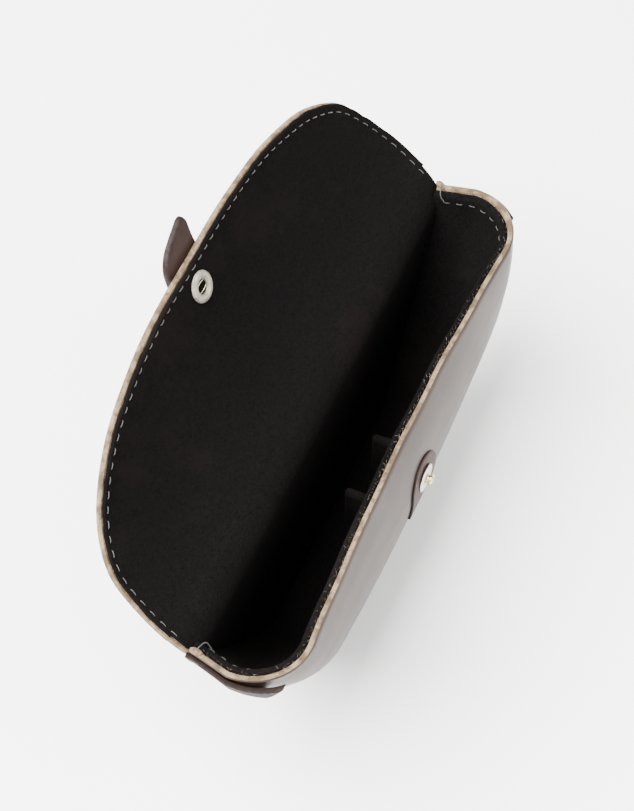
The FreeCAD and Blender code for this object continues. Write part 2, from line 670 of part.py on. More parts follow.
doc.recompute()
for piece in doc.Objects:
    if "Invalid" in piece.State or "Error" in piece.State:
        raise SystemExit("%s failed: %s" % (piece.Name, piece.State))
for piece in NODES:
    if piece.Shape.isNull() or not piece.Shape.isValid():
        raise SystemExit("%s has no valid shape" % piece.Label)
os.makedirs("parts", exist_ok=True)
for piece in NODES:
    piece.Shape.exportStep("parts/%s.step" % piece.Label)
    print("%-18s %9.1f mm3 %d solid" % (piece.Label, piece.Shape.Volume, len(piece.Shape.Solids)))
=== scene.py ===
import json
import math

import bmesh
import bpy
import numpy as np
from mathutils import Matrix, Vector, noise


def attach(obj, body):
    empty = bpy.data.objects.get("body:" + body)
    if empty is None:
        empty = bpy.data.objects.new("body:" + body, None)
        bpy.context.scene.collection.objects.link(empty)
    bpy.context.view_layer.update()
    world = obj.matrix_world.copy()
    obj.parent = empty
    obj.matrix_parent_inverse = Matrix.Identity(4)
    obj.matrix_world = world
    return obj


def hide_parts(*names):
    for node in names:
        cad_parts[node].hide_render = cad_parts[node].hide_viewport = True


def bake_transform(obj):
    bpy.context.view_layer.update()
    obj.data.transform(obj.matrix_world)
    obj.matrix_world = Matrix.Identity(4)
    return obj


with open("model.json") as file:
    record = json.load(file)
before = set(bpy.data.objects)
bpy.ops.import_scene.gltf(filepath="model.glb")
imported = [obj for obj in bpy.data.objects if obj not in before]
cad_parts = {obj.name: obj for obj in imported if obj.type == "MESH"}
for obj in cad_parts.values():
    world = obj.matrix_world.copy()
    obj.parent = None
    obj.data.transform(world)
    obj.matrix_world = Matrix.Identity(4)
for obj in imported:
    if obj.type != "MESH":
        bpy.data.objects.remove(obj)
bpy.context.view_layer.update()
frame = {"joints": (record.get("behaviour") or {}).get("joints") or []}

# An open leather glasses case.  Lengths below are millimetres measured from the middle of the
# lid's hinge line (x along the case, y to the back, z up); placed() turns them into metres.
MM = 0.001
JOINTS = {joint["name"]: joint for joint in frame["joints"]}
HINGE = Vector(JOINTS["lid_hinge"]["pos_m"])
RIM_TALL = HINGE.z / MM

LEATHER = 1.6
LINING = 2.0
BACK_LINING = 1.2
LID_LINING = 1.0
BACK_OUT = 1.3
FOOT_ROUND = 4.0
SWAY = 0.45

# The pocket's outline at six heights over the base: half length at the back, half length at the
# widest, depth, corner radius, and how far the front bows in.
LEVELS = (
    (0.0, 37.0, 39.0, 17.2, 11.0, -0.8),
    (12.0, 47.5, 50.0, 21.2, 15.0, -1.0),
    (27.0, 59.0, 61.8, 25.4, 17.5, -1.0),
    (39.9, 68.5, 71.3, 27.1, 17.5, -0.5),
    (50.0, 74.4, 77.0, 26.8, 16.5, 0.8),
    (58.0, 77.3, 79.8, 25.8, 15.5, 2.6),
)
STUD_DROP = RIM_TALL - LEVELS[3][0]

# The lid: a bend of one radius that starts at an angle; stations run along the bend.
LID_RADIUS = 58.0
LID_START = math.radians(20)
SPLIT = 6.0
FOLD = 27.3
LID_EDGE = (
    (-77.8, 0), (-75.3, 14), (-71.8, 26), (-64.3, 35.2), (-50, 44), (-32, 49.8), (-12, 52.7),
    (8, 53.3), (28, 52.4), (48, 49.6), (66, 43.2), (76, 35.4), (80.3, 26), (81.8, 15), (79, 0),
)
SOCKET_AT, SOCKET_X = 45.85, 0.1


def placed(x, y, z):
    """A point of the case, in metres, from millimetres off the hinge line."""
    return Vector((x * MM, HINGE.y + y * MM, HINGE.z + z * MM))


def through(knots, values):
    """A smooth curve through values at rising knots."""
    knots = np.array(knots, float)
    values = np.array(values, float)
    slopes = np.gradient(values, knots, axis=0)

    def at(place):
        place = float(np.clip(place, knots[0], knots[-1]))
        left = min(int(np.searchsorted(knots, place, side="right")) - 1, len(knots) - 2)
        step = knots[left + 1] - knots[left]
        t = (place - knots[left]) / step
        a, b = values[left], values[left + 1]
        m, n = slopes[left] * step, slopes[left + 1] * step
        return ((2 * t ** 3 - 3 * t ** 2 + 1) * a + (t ** 3 - 2 * t ** 2 + t) * m
                + (3 * t ** 2 - 2 * t ** 3) * b + (t ** 3 - t ** 2) * n)
    return at


def wave(x, y, z, size, seed=0.0):
    """Gentle unevenness between -1 and 1 that changes over about `size` millimetres."""
    return noise.noise(Vector((x / size + seed, y / size - seed, z / size + 2 * seed))) * 1.6


# ------------------------------------------------------------------ floor, light and camera

VIEW_TURN = math.radians(23.6)
VIEW_RISE = math.radians(56)
VIEW_FAR = 0.553
FRAME_TALL, SENSOR = 811, 36
LENS = 2200 / FRAME_TALL * SENSOR
SHIFT_RIGHT, SHIFT_UP = -6.6 / FRAME_TALL, -4.3 / FRAME_TALL
WORLD_LIGHT = 1.3


def stage():
    """A pale floor, soft light from all round, and the camera."""
    bpy.ops.mesh.primitive_plane_add(size=6, location=(0, 0, -0.0004))
    floor = bpy.context.object
    floor.name = "floor"
    floor.data.materials.append(plain_floor())

    world = bpy.data.worlds.new("studio")
    world.use_nodes = True
    world.node_tree.nodes["Background"].inputs["Color"].default_value = (1.0, 1.0, 1.0, 1)
    world.node_tree.nodes["Background"].inputs["Strength"].default_value = WORLD_LIGHT
    bpy.context.scene.world = world

    for name, place, turn, wide, power in (
            ("overhead", (-0.35, 0.45, 0.95), (-0.45, -0.32, 0), 1.1, 105.0),
            ("fill", (0.2, -0.9, 0.7), (0.9, 0.1, 0), 0.8, 14.0)):
        light = bpy.data.lights.new(name, "AREA")
        light.shape = "SQUARE"
        light.size = wide
        light.energy = power
        lamp = bpy.data.objects.new(name, light)
        lamp.location = place
        lamp.rotation_euler = turn
        bpy.context.scene.collection.objects.link(lamp)

    camera = bpy.data.cameras.new("camera")
    camera.sensor_width = SENSOR
    camera.lens = LENS
    camera.clip_end = 20
    camera.shift_x = SHIFT_RIGHT
    camera.shift_y = SHIFT_UP
    eye = bpy.data.objects.new("camera", camera)
    back = Vector((-math.cos(VIEW_TURN) * math.cos(VIEW_RISE),
                   -math.sin(VIEW_TURN) * math.cos(VIEW_RISE), math.sin(VIEW_RISE)))
    eye.location = HINGE + back * VIEW_FAR
    eye.rotation_euler = back.to_track_quat("Z", "Y").to_euler()
    bpy.context.scene.collection.objects.link(eye)
    bpy.context.scene.camera = eye


# ------------------------------------------------------------------ node helpers and groups

def link(tree, source, target):
    """Joins an output to an input."""
    tree.links.new(source, target)


def node(tree, kind, settings=None, **inputs):
    """One node, with its settings and any inputs given as values or as other sockets."""
    made = tree.nodes.new(kind)
    for key, value in (settings or {}).items():
        setattr(made, key, value)
    for key, value in inputs.items():
        name = key.replace("_", " ")
        socket = made.inputs[int(name[1:])] if name[0] == "n" and name[1:].isdigit() else made.inputs[name]
        if isinstance(value, bpy.types.NodeSocket):
            link(tree, value, socket)
        else:
            socket.default_value = value
    return made


def maths(tree, operation, first, second=None):
    """The output of one Math node."""
    values = {"n0": first}
    if second is not None:
        values["n1"] = second
    return node(tree, "ShaderNodeMath", {"operation": operation}, **values).outputs[0]


def ramp(tree, value, low, high, to_low=0.0, to_high=1.0):
    """A value spread from one range to another, and held inside it."""
    made = node(tree, "ShaderNodeMapRange", {"clamp": True}, Value=value)
    for name, number in (("From Min", low), ("From Max", high), ("To Min", to_low), ("To Max", to_high)):
        made.inputs[name].default_value = number
    return made.outputs["Result"]


def mixed(tree, share, first, second, blend="MIX"):
    """Two colours mixed by a share."""
    made = tree.nodes.new("ShaderNodeMix")
    made.data_type = "RGBA"
    made.blend_type = blend
    for socket, value in ((made.inputs[0], share), (made.inputs[6], first), (made.inputs[7], second)):
        if isinstance(value, bpy.types.NodeSocket):
            link(tree, value, socket)
        elif isinstance(value, tuple):
            socket.default_value = (*value, 1)
        else:
            socket.default_value = value
    return made.outputs[2]


def effect(name, inputs, outputs):
    """An empty shader node group with named inputs and outputs."""
    tree = bpy.data.node_groups.new(name, "ShaderNodeTree")
    for label, value in inputs.items():
        socket = tree.interface.new_socket(label, in_out="INPUT", socket_type="NodeSocketFloat")
        socket.default_value = value
    for label in outputs:
        tree.interface.new_socket(label, in_out="OUTPUT", socket_type="NodeSocketFloat")
    return tree, tree.nodes.new("NodeGroupInput"), tree.nodes.new("NodeGroupOutput")


def grain_group():
    """Leather grain: fine cells, creases between them and slow swells."""
    tree, ask, give = effect("grain", {"Cells": 900.0, "Slow": 60.0}, ("Height", "Tone"))
    place = node(tree, "ShaderNodeTexCoord").outputs["Object"]
    warp = node(tree, "ShaderNodeTexNoise", {"noise_dimensions": "3D"}, Vector=place,
                Scale=maths(tree, "MULTIPLY", ask.outputs["Cells"], 0.6), Detail=2.0)
    nudged = node(tree, "ShaderNodeVectorMath", {"operation": "SCALE"}, n0=warp.outputs["Color"])
    nudged.inputs["Scale"].default_value = 0.0009
    moved = node(tree, "ShaderNodeVectorMath", {"operation": "ADD"}, n0=place, n1=nudged.outputs[0])
    cells = node(tree, "ShaderNodeTexVoronoi", {"feature": "DISTANCE_TO_EDGE"},
                 Vector=moved.outputs[0], Scale=ask.outputs["Cells"])
    crease = ramp(tree, cells.outputs["Distance"], 0.0, 0.16)
    slow = node(tree, "ShaderNodeTexNoise", Vector=place, Scale=ask.outputs["Slow"], Detail=4.0,
                Roughness=0.6)
    height = maths(tree, "ADD", maths(tree, "MULTIPLY", crease, 0.35), slow.outputs["Fac"])
    link(tree, height, give.inputs["Height"])
    link(tree, slow.outputs["Fac"], give.inputs["Tone"])
    return tree


def crimp_group():
    """Fine crossed crimps pressed into leather, broken up so that they never line up for long."""
    tree, ask, give = effect("crimp", {"Lines": 1500.0}, ("Height", "Specks"))
    place = node(tree, "ShaderNodeTexCoord").outputs["Object"]
    drift = node(tree, "ShaderNodeTexNoise", Vector=place, Scale=220.0, Detail=3.0)
    heights = []
    for direction in ("X", "Z"):
        bands = node(tree, "ShaderNodeTexWave", {"bands_direction": direction}, Vector=place,
                     Scale=maths(tree, "MULTIPLY", ask.outputs["Lines"], 0.16), Distortion=9.0,
                     Detail=3.0)
        heights.append(bands.outputs["Fac"])
    crossed = maths(tree, "MULTIPLY", heights[0], heights[1])
    uneven = maths(tree, "MULTIPLY", crossed, ramp(tree, drift.outputs["Fac"], 0.3, 0.7, 0.3, 1.0))
    dots = node(tree, "ShaderNodeTexNoise", Vector=place, Scale=1400.0, Detail=1.0)
    link(tree, uneven, give.inputs["Height"])
    link(tree, ramp(tree, dots.outputs["Fac"], 0.66, 0.74), give.inputs["Specks"])
    return tree


def fibre_group():
    """Loose fibres: a fine tangle with darker pits."""
    tree, ask, give = effect("fibres", {"Scale": 1200.0}, ("Height", "Pits"))
    place = node(tree, "ShaderNodeTexCoord").outputs["Object"]
    tangle = node(tree, "ShaderNodeTexNoise", Vector=place, Scale=ask.outputs["Scale"], Detail=6.0,
                  Roughness=0.75, Distortion=1.2)
    broad = node(tree, "ShaderNodeTexNoise", Vector=place,
                 Scale=maths(tree, "MULTIPLY", ask.outputs["Scale"], 0.22), Detail=3.0)
    link(tree, maths(tree, "ADD", tangle.outputs["Fac"], broad.outputs["Fac"]), give.inputs["Height"])
    link(tree, ramp(tree, tangle.outputs["Fac"], 0.46, 0.6), give.inputs["Pits"])
    return tree


def wear_group():
    """Rubbed patches and short scratches."""
    tree, ask, give = effect("wear", {"Scale": 120.0, "Reach": 0.6}, ("Rubbed",))
    place = node(tree, "ShaderNodeTexCoord").outputs["Object"]
    cloud = node(tree, "ShaderNodeTexNoise", Vector=place, Scale=ask.outputs["Scale"], Detail=5.0,
                 Roughness=0.65)
    spread = node(tree, "ShaderNodeMapRange", {"clamp": True}, Value=cloud.outputs["Fac"])
    link(tree, ask.outputs["Reach"], spread.inputs["From Min"])
    link(tree, maths(tree, "ADD", ask.outputs["Reach"], 0.15), spread.inputs["From Max"])
    link(tree, spread.outputs["Result"], give.inputs["Rubbed"])
    return tree


GRAIN, CRIMP, FIBRES, WEAR = grain_group(), crimp_group(), fibre_group(), wear_group()


def place_group(tree, group, **values):
    """One of the effect groups, with its own values."""
    made = tree.nodes.new("ShaderNodeGroup")
    made.node_tree = group
    for name, value in values.items():
        made.inputs[name].default_value = value
    return made


def finish_of(name, plain):
    """A new material with its node tree and shader, plain values set on the shader itself."""
    material = bpy.data.materials.new(name)
    material.use_nodes = True
    tree = material.node_tree
    shader = tree.nodes["Principled BSDF"]
    for key, value in plain.items():
        shader.inputs[key].default_value = value
    return material, tree, shader


def bump(tree, shader, height, strength, distance):
    """A bump on a shader's normal."""
    made = node(tree, "ShaderNodeBump", Height=height, Strength=strength, Distance=distance)
    link(tree, made.outputs["Normal"], shader.inputs["Normal"])


def plain_floor():
    material, tree, shader = finish_of("pale_floor", {"Roughness": 0.9, "Specular IOR Level": 0.1})
    shader.inputs["Base Color"].default_value = (0.9, 0.9, 0.895, 1)
    return material


def smooth_leather(name, dark, light, plain):
    """Close-grained leather with a waxed shine, slow changes of tone and faint drawn streaks."""
    material, tree, shader = finish_of(name, plain)
    grain = place_group(tree, GRAIN, Cells=1100.0, Slow=45.0)
    worn = place_group(tree, WEAR, Scale=70.0, Reach=0.55)
    long_way = node(tree, "ShaderNodeMapping", Vector=node(tree, "ShaderNodeTexCoord").outputs["Object"])
    long_way.inputs["Scale"].default_value = (0.08, 1, 1)
    streaks = node(tree, "ShaderNodeTexNoise", Vector=long_way.outputs[0], Scale=260.0, Detail=3.0)
    mottle = mixed(tree, 0.5, grain.outputs["Tone"], streaks.outputs["Fac"])
    tone = mixed(tree, ramp(tree, mottle, 0.38, 0.62), dark, light)
    rubbed = maths(tree, "MULTIPLY", worn.outputs["Rubbed"], 0.35)
    link(tree, mixed(tree, rubbed, tone, tuple(min(1.0, part * 1.6) for part in light)),
         shader.inputs["Base Color"])
    link(tree, ramp(tree, mottle, 0.35, 0.65, 0.34, 0.46), shader.inputs["Roughness"])
    bump(tree, shader, grain.outputs["Height"], 0.16, 0.0003)
    return material


def crimped_leather():
    """The back, lid and wings: a duller leather with crossed crimps, painted shade in their creases, and pale
    specks.
    """
    material, tree, shader = finish_of("crimped_leather", {"Specular IOR Level": 0.06})
    crimp = place_group(tree, CRIMP, Lines=2100.0)
    grain = place_group(tree, GRAIN, Cells=700.0, Slow=50.0)
    tone = mixed(tree, grain.outputs["Tone"], (0.020, 0.0155, 0.0125), (0.038, 0.030, 0.025))
    # Painted shade: the low parts of the crimps are coloured darker, down to (0.015, 0.0115, 0.0096), as
    # shade in the creases.
    crease_shaded = mixed(tree, ramp(tree, crimp.outputs["Height"], 0.05, 0.6), (0.015, 0.0115, 0.0096), tone)
    specked = mixed(tree, maths(tree, "MULTIPLY", crimp.outputs["Specks"], 0.12), crease_shaded,
                    (0.20, 0.18, 0.155))
    link(tree, specked, shader.inputs["Base Color"])
    link(tree, ramp(tree, crimp.outputs["Height"], 0.0, 1.0, 0.62, 0.42), shader.inputs["Roughness"])
    bump(tree, shader, crimp.outputs["Height"], 0.35, 0.0003)
    return material


def raw_edge():
    """The cut edge of the leather: tan, fibrous, with darker pits."""
    material, tree, shader = finish_of("raw_edge", {"Roughness": 0.9, "Specular IOR Level": 0.2})
    fibres = place_group(tree, FIBRES, Scale=1500.0)
    broad = place_group(tree, WEAR, Scale=260.0, Reach=0.42)
    base = mixed(tree, broad.outputs["Rubbed"], (0.086, 0.058, 0.033), (0.225, 0.163, 0.098))
    link(tree, mixed(tree, maths(tree, "MULTIPLY", fibres.outputs["Pits"], 0.55), base,
                     (0.045, 0.026, 0.015)), shader.inputs["Base Color"])
    bump(tree, shader, fibres.outputs["Height"], 0.7, 0.0005)
    return material


def burnished_edge():
    """The tab's and the patch's edges, rubbed dark and smooth."""
    material, tree, shader = finish_of("burnished_edge", {"Specular IOR Level": 0.1})
    fibres = place_group(tree, FIBRES, Scale=700.0)
    link(tree, mixed(tree, fibres.outputs["Pits"], (0.014, 0.008, 0.0065), (0.006, 0.004, 0.0035)),
         shader.inputs["Base Color"])
    link(tree, ramp(tree, fibres.outputs["Pits"], 0.0, 1.0, 0.4, 0.6), shader.inputs["Roughness"])
    bump(tree, shader, fibres.outputs["Height"], 0.15, 0.0003)
    return material


def velvet():
    """Short black pile with brushed, browner places."""
    plain = {"Roughness": 0.95, "Specular IOR Level": 0.015, "Sheen Weight": 0.004,
             "Sheen Roughness": 0.4, "Sheen Tint": (0.8, 0.72, 0.66, 1)}
    material, tree, shader = finish_of("velvet", plain)
    fibres = place_group(tree, FIBRES, Scale=1800.0)
    brushed = place_group(tree, WEAR, Scale=22.0, Reach=0.48)
    pile = mixed(tree, fibres.outputs["Pits"], (0.0042, 0.0037, 0.0036), (0.0020, 0.0018, 0.0018))
    link(tree, mixed(tree, maths(tree, "MULTIPLY", brushed.outputs["Rubbed"], 0.6), pile,
                     (0.0066, 0.0052, 0.0046)), shader.inputs["Base Color"])
    bump(tree, shader, fibres.outputs["Height"], 0.5, 0.0004)
    return material


def thread():
    """Waxed sewing thread with its twist, the twist's grooves painted darker as shade."""
    material, tree, shader = finish_of("thread", {"Roughness": 0.55, "Sheen Weight": 0.2})
    place = node(tree, "ShaderNodeTexCoord").outputs["Object"]
    twist = node(tree, "ShaderNodeTexWave", {"bands_direction": "DIAGONAL"}, Vector=place,
                 Scale=900.0, Distortion=1.0)
    # Painted shade: the twist's grooves are coloured darker and its ridges lighter, following the same bands
    # as the bump.
    link(tree, mixed(tree, twist.outputs["Fac"], (0.008, 0.010, 0.009), (0.024, 0.029, 0.0255)),
         shader.inputs["Base Color"])
    bump(tree, shader, twist.outputs["Fac"], 0.4, 0.0002)
    return material


def worn_nickel(name, tint, rough, relief=0.3):
    """Plating with fine scratches, dull spots and a warm tone where it is rubbed."""
    material, tree, shader = finish_of(name, {"Metallic": 1.0})
    worn = place_group(tree, WEAR, Scale=420.0, Reach=0.52)
    fine = place_group(tree, FIBRES, Scale=900.0)
    link(tree, mixed(tree, worn.outputs["Rubbed"], tint, tuple(part * 0.62 for part in tint)),
         shader.inputs["Base Color"])
    link(tree, ramp(tree, worn.outputs["Rubbed"], 0.0, 1.0, rough, rough + 0.2),
         shader.inputs["Roughness"])
    bump(tree, shader, fine.outputs["Height"], relief, 0.0005)
    return material


def lint():
    """Pale dust and fluff."""
    material, tree, shader = finish_of("lint", {"Roughness": 0.95})
    fibres = place_group(tree, FIBRES, Scale=600.0)
    link(tree, mixed(tree, fibres.outputs["Pits"], (0.13, 0.115, 0.095), (0.045, 0.040, 0.034)),
         shader.inputs["Base Color"])
    return material


FRONT = smooth_leather("front_leather", (0.027, 0.0178, 0.0136), (0.041, 0.0280, 0.0215),
                       {"Specular IOR Level": 0.2})
DARK = smooth_leather("dark_leather", (0.016, 0.0085, 0.0065), (0.027, 0.015, 0.012),
                      {"Specular IOR Level": 0.05})
PATCH = smooth_leather("patch_leather", (0.030, 0.019, 0.016), (0.046, 0.030, 0.026),
                       {"Specular IOR Level": 0.04})
CRIMPED = crimped_leather()
RAW = raw_edge()
BURNISHED = burnished_edge()
VELVET = velvet()
THREAD = thread()
NICKEL = worn_nickel("nickel", (0.62, 0.585, 0.50), 0.34)
PALE_GOLD = worn_nickel("pale_gold", (0.66, 0.58, 0.40), 0.26)
WORN_RING = worn_nickel("worn_ring", (0.40, 0.37, 0.30), 0.42, 0.9)
LINT = lint()


# ------------------------------------------------------------------ meshes

SHARP = math.radians(42)


def mesh_piece(name, corners, faces, kinds, materials):
    """A smooth-shaded mesh object from corners in metres, with sharp edges where it turns hard."""
    mesh = bpy.data.meshes.new(name)
    mesh.from_pydata([tuple(corner) for corner in corners], [], faces)
    for material in materials:
        mesh.materials.append(material)
    mesh.polygons.foreach_set("material_index", kinds)
    work = bmesh.new()
    work.from_mesh(mesh)
    if work.calc_volume(signed=True) < 0:
        bmesh.ops.reverse_faces(work, faces=work.faces)
    for face in work.faces:
        face.smooth = True
    for edge in work.edges:
        edge.smooth = not (len(edge.link_faces) == 2 and edge.calc_face_angle(0) > SHARP)
    work.to_mesh(mesh)
    work.free()
    piece = bpy.data.objects.new(name, mesh)
    bpy.context.scene.collection.objects.link(piece)
    return piece


def thick_sheet(name, face, back, materials, rounded=(), round_by=0.3):
    """A closed sheet between two grids of points (rows, columns, xyz) in millimetres off the hinge.

    materials are those of the face, of the cut edge and of the back.  The edges named in
    rounded, out of top, right, bottom and left, have their corners taken off."""
    face = np.array(face, float)
    back = np.array(back, float)
    rows, columns, _ = face.shape
    sides = {
        "top": [(0, c) for c in range(columns)],
        "right": [(r, columns - 1) for r in range(rows)],
        "bottom": [(rows - 1, c) for c in reversed(range(columns))],
        "left": [(r, 0) for r in reversed(range(rows))],
    }
    inward = {"top": (1, 0), "right": (0, -1), "bottom": (-1, 0), "left": (0, 1)}
    rim = [spot for side in sides.values() for spot in side[:-1]]
    first_edge = {spot: face[spot].copy() for spot in rim}
    last_edge = {spot: back[spot].copy() for spot in rim}
    for side in rounded:
        down, across = inward[side]
        for spot in sides[side]:
            beside = (spot[0] + down, spot[1] + across)
            for grid, kept in ((face, first_edge), (back, last_edge)):
                step = grid[beside] - kept[spot]
                grid[spot] = kept[spot] + step * min(0.6, round_by / (np.linalg.norm(step) + 1e-9))
    corners = [*face.reshape(-1, 3), *back.reshape(-1, 3)]
    count = rows * columns

    def number(spot, side=0):
        return side * count + spot[0] * columns + spot[1]
    faces, kinds = [], []
    for r in range(rows - 1):
        for c in range(columns - 1):
            ring = [(r, c), (r, c + 1), (r + 1, c + 1), (r + 1, c)]
            faces += [[number(spot) for spot in ring],
                      [number(spot, 1) for spot in reversed(ring)]]
            kinds += [0, 2]
    loops = [[number(spot) for spot in rim]]
    for share in (0, 1):
        loop = []
        for spot in rim:
            a, b = first_edge[spot], last_edge[spot]
            thick = np.linalg.norm(b - a) + 1e-9
            part = min(0.4, round_by / thick)
            loop.append(len(corners))
            corners.append(a + (b - a) * (part if share == 0 else 1 - part))
        loops.append(loop)
    loops.append([number(spot, 1) for spot in rim])
    for outer, inner, kind in zip(loops, loops[1:], (0, 1, 1)):
        for turn in range(len(rim)):
            following = (turn + 1) % len(rim)
            faces.append([outer[following], outer[turn], inner[turn], inner[following]])
            kinds.append(kind)
    return mesh_piece(name, [placed(*corner) for corner in corners], faces, kinds, materials)


def joined(name, parts):
    """Several closed mesh objects as one."""
    work = bmesh.new()
    materials = []
    for part in parts:
        start = len(work.faces)
        work.from_mesh(part.data)
        work.faces.ensure_lookup_table()
        for face in work.faces[start:]:
            material = part.data.materials[face.material_index]
            if material not in materials:
                materials.append(material)
            face.material_index = materials.index(material)
        bpy.data.objects.remove(part)
    mesh = bpy.data.meshes.new(name)
    work.to_mesh(mesh)
    work.free()
    for material in materials:
        mesh.materials.append(material)
    piece = bpy.data.objects.new(name, mesh)
    bpy.context.scene.collection.objects.link(piece)
    return piece


# ------------------------------------------------------------------ the pocket

level_at = through([level[0] - RIM_TALL for level in LEVELS], [level[1:] for level in LEVELS])
END_STEPS, CORNER_STEPS, FRONT_STEPS = 8, 16, 90
BACK_WALL = 0.2


def outline(height, inset=0.0, uneven=0.0):
    """The pocket's outline at a height, from the left back edge round the front to the right."""
    back, end, depth, corner, bow = level_at(height)
    back, end, depth, corner = back - inset, end - inset, depth - inset, max(corner - inset, 2.0)
    flat, knee = end - corner, depth - corner
    right = [(end + (back - end) * t, -knee * (1 - t)) for t in np.linspace(1, 0, END_STEPS + 1)[:-1]]
    right += [(flat + corner * math.cos(turn), -knee - corner * math.sin(turn))
              for turn in np.linspace(0, math.pi / 2, CORNER_STEPS + 1)[:-1]]
    front = [(x, -depth + bow * (1 - (x / flat) ** 2))
             for x in np.linspace(flat, -flat, FRONT_STEPS + 1)]
    left = [(-x, y) for x, y in reversed(right)]
    run = list(reversed(right + front + left))
    return [(x, y + uneven * wave(x, y, height, 22, 3.1), height) for x, y in run]


def pocket_grid(inset, floor, rows=38):
    """The pocket's wall from the rim down, its rounded foot, and its bottom back to the back wall."""
    grid = []
    foot = floor - RIM_TALL
    turn_in = max(FOOT_ROUND - inset * 0.4, 2.0)
    for height in np.linspace(0, foot + turn_in, rows):
        share = max(0.0, 1 + height / 8)
        lift = SWAY * share * 0.5
        grid.append([(x, y, z + lift * wave(x, y, 0, 26, 7.7))
                     for x, y, z in outline(height, inset, SWAY * (0.3 + 0.7 * share))])
    for turn in np.linspace(0, math.pi / 2, 7)[1:]:
        height = foot + turn_in * (1 - math.sin(turn))
        grid.append(outline(height, inset + turn_in * (1 - math.cos(turn)), SWAY * 0.3))
    edge = grid[-1]
    for share in np.linspace(0, 1, 9)[1:]:
        grid.append([(x, y + (BACK_WALL - y) * share, foot) for x, y, _ in edge])
    return grid


def body_leather():
    """The moulded front, ends and bottom, cut raw at the rim."""
    piece = thick_sheet("body_leather", pocket_grid(0, 0.0),
                        pocket_grid(LEATHER, LEATHER), (FRONT, RAW, RAW), ("top",), 0.35)
    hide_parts("front_shell")
    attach(piece, "case_body")
    return piece


def line_length(points):
    """The length of a line of points in millimetres, in metres."""
    return float(np.linalg.norm(np.diff(np.array(points, float), axis=0), axis=1).sum() * MM)


def cut_sheet(grid, wide=None):
    """Works out a lining's width, the longest of its rows unless a width is given, and does nothing more with
    it.
    """
    spots = np.array(grid)
    wide = wide or max(line_length(row) for row in spots)


def body_velvet():
    """The velvet inside the moulded leather, with a soft rolled rim."""
    outside = np.array(pocket_grid(LEATHER + 0.05, LEATHER + 0.05))
    inside = np.array(pocket_grid(LEATHER + LINING, LEATHER + LINING))
    for grid, drop in ((outside, 0.35), (inside, 0.5)):
        grid[0, :, 2] -= drop
    for c in range(inside.shape[1]):
        x, y, _ = inside[0, c]
        outside[0, c, 2] += 0.25 * wave(x, y, 0, 3.5, 1.3)
        inside[0, c, 2] += 0.25 * wave(x, y, 0, 5, 4.9)
    piece = thick_sheet("pocket_velvet", inside, outside, (VELVET, VELVET, VELVET), ("top",), 0.7)
    cut_sheet(inside)
    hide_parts("body_lining")
    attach(piece, "case_body")
    return piece


# ------------------------------------------------------------------ the lid

def lid_point(x, along, depth=0.0):
    """A point on the lid: across, along the bend from the hinge, and outward of the velvet."""
    turn = LID_START + along / LID_RADIUS
    reach = LID_RADIUS + depth + 0.35 * wave(x, along, 0, 24, 5.5) * min(1.0, along / 12)
    return (x, reach * math.sin(turn) - LID_RADIUS * math.sin(LID_START),
            LID_RADIUS * math.cos(LID_START) - reach * math.cos(turn))


def edge_curve(inset=0.0):
    """The lid's outline as evenly spaced (x, along) points, from the left hinge end to the right."""
    spots = np.array(LID_EDGE, float)
    middle = np.array((2.0, 0.0))
    knots = np.r_[0, np.cumsum(np.hypot(*np.diff(spots, axis=0).T))]
    curve = through(knots, spots)
    fine = np.array([curve(t) for t in np.linspace(0, knots[-1], 1200)])
    tangent = np.gradient(fine, axis=0)
    outward = np.c_[-tangent[:, 1], tangent[:, 0]] / np.hypot(*tangent.T)[:, None]
    if ((fine[600] - middle) * outward[600]).sum() < 0:
        outward = -outward
    return fine - outward * inset


EDGE_COLUMNS = 170
LID_ROWS = 46


def lid_grid(depth, inset=0.0, ragged=0.0):
    """The lid from the split near the hinge out to its edge."""
    edge = edge_curve(inset)
    edge = edge[edge[:, 1] > SPLIT + 0.5]
    steps = np.r_[0, np.cumsum(np.hypot(*np.diff(edge, axis=0).T))]
    shares = np.linspace(0, 1, EDGE_COLUMNS)
    ends = np.c_[np.interp(shares * steps[-1], steps, edge[:, 0]),
                 np.interp(shares * steps[-1], steps, edge[:, 1])]
    left, right = hinge_span(SPLIT)
    base = np.c_[left + inset + (right - left - 2 * inset) * shares, np.full(EDGE_COLUMNS, SPLIT)]
    grid = []
    for share in np.linspace(0, 1, LID_ROWS):
        row = base + (ends - base) * share
        loose = ragged * share ** 8
        grid.append([lid_point(x + loose * wave(x, along, 0, 3, 2.2) * np.sign(x),
                               along + loose * wave(x, along, 0, 3, 8.2), depth)
                     for x, along in row])
    return grid


def hinge_span(along):
    """Where the lid's two ends are at a station close to the hinge."""
    edge = edge_curve()
    half = len(edge) // 2
    left = np.interp(along, edge[:half, 1], edge[:half, 0])
    right = np.interp(along, edge[half:, 1][::-1], edge[half:, 0][::-1])
    return left, right


def on_metres(x, along):
    """A point on the lid's velvet, in metres."""
    return placed(*lid_point(x, along))


def lid_pieces():
    """The lid's leather and its velvet, each one sheet that runs across the fold."""
    pieces = [
        thick_sheet("lid_leather_outside", lid_grid(LID_LINING + LEATHER),
                    lid_grid(LID_LINING), (CRIMPED, RAW, RAW), ("bottom",), 0.3),
        thick_sheet("lid_velvet", lid_grid(0.0, 0.45, 0.15), lid_grid(LID_LINING - 0.03, 0.45, 0.15),
                    (VELVET, VELVET, VELVET), ("bottom",), 0.35),
    ]
    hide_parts("lid_leather", "flap_leather")
    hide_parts("lid_lining", "flap_lining")
    across = edge_curve(0.45)[:, 0]
    cut_sheet(lid_grid(0.0, 0.45), (across.max() - across.min()) * MM)
    for piece, slot in zip(pieces, ("brown_leather", "velvet")):
        fold_piece(piece)
    return pieces


def fold_piece(piece):
    """Works out points 8 mm on both sides of the lid's fold, which are not used, and bakes the piece's
    placement into its mesh.
    """
    on_metres(0, FOLD - 8)
    on_metres(0, FOLD + 8)
    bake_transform(piece)


# ------------------------------------------------------------------ the back and the hinge

BACK_COLUMNS = 60


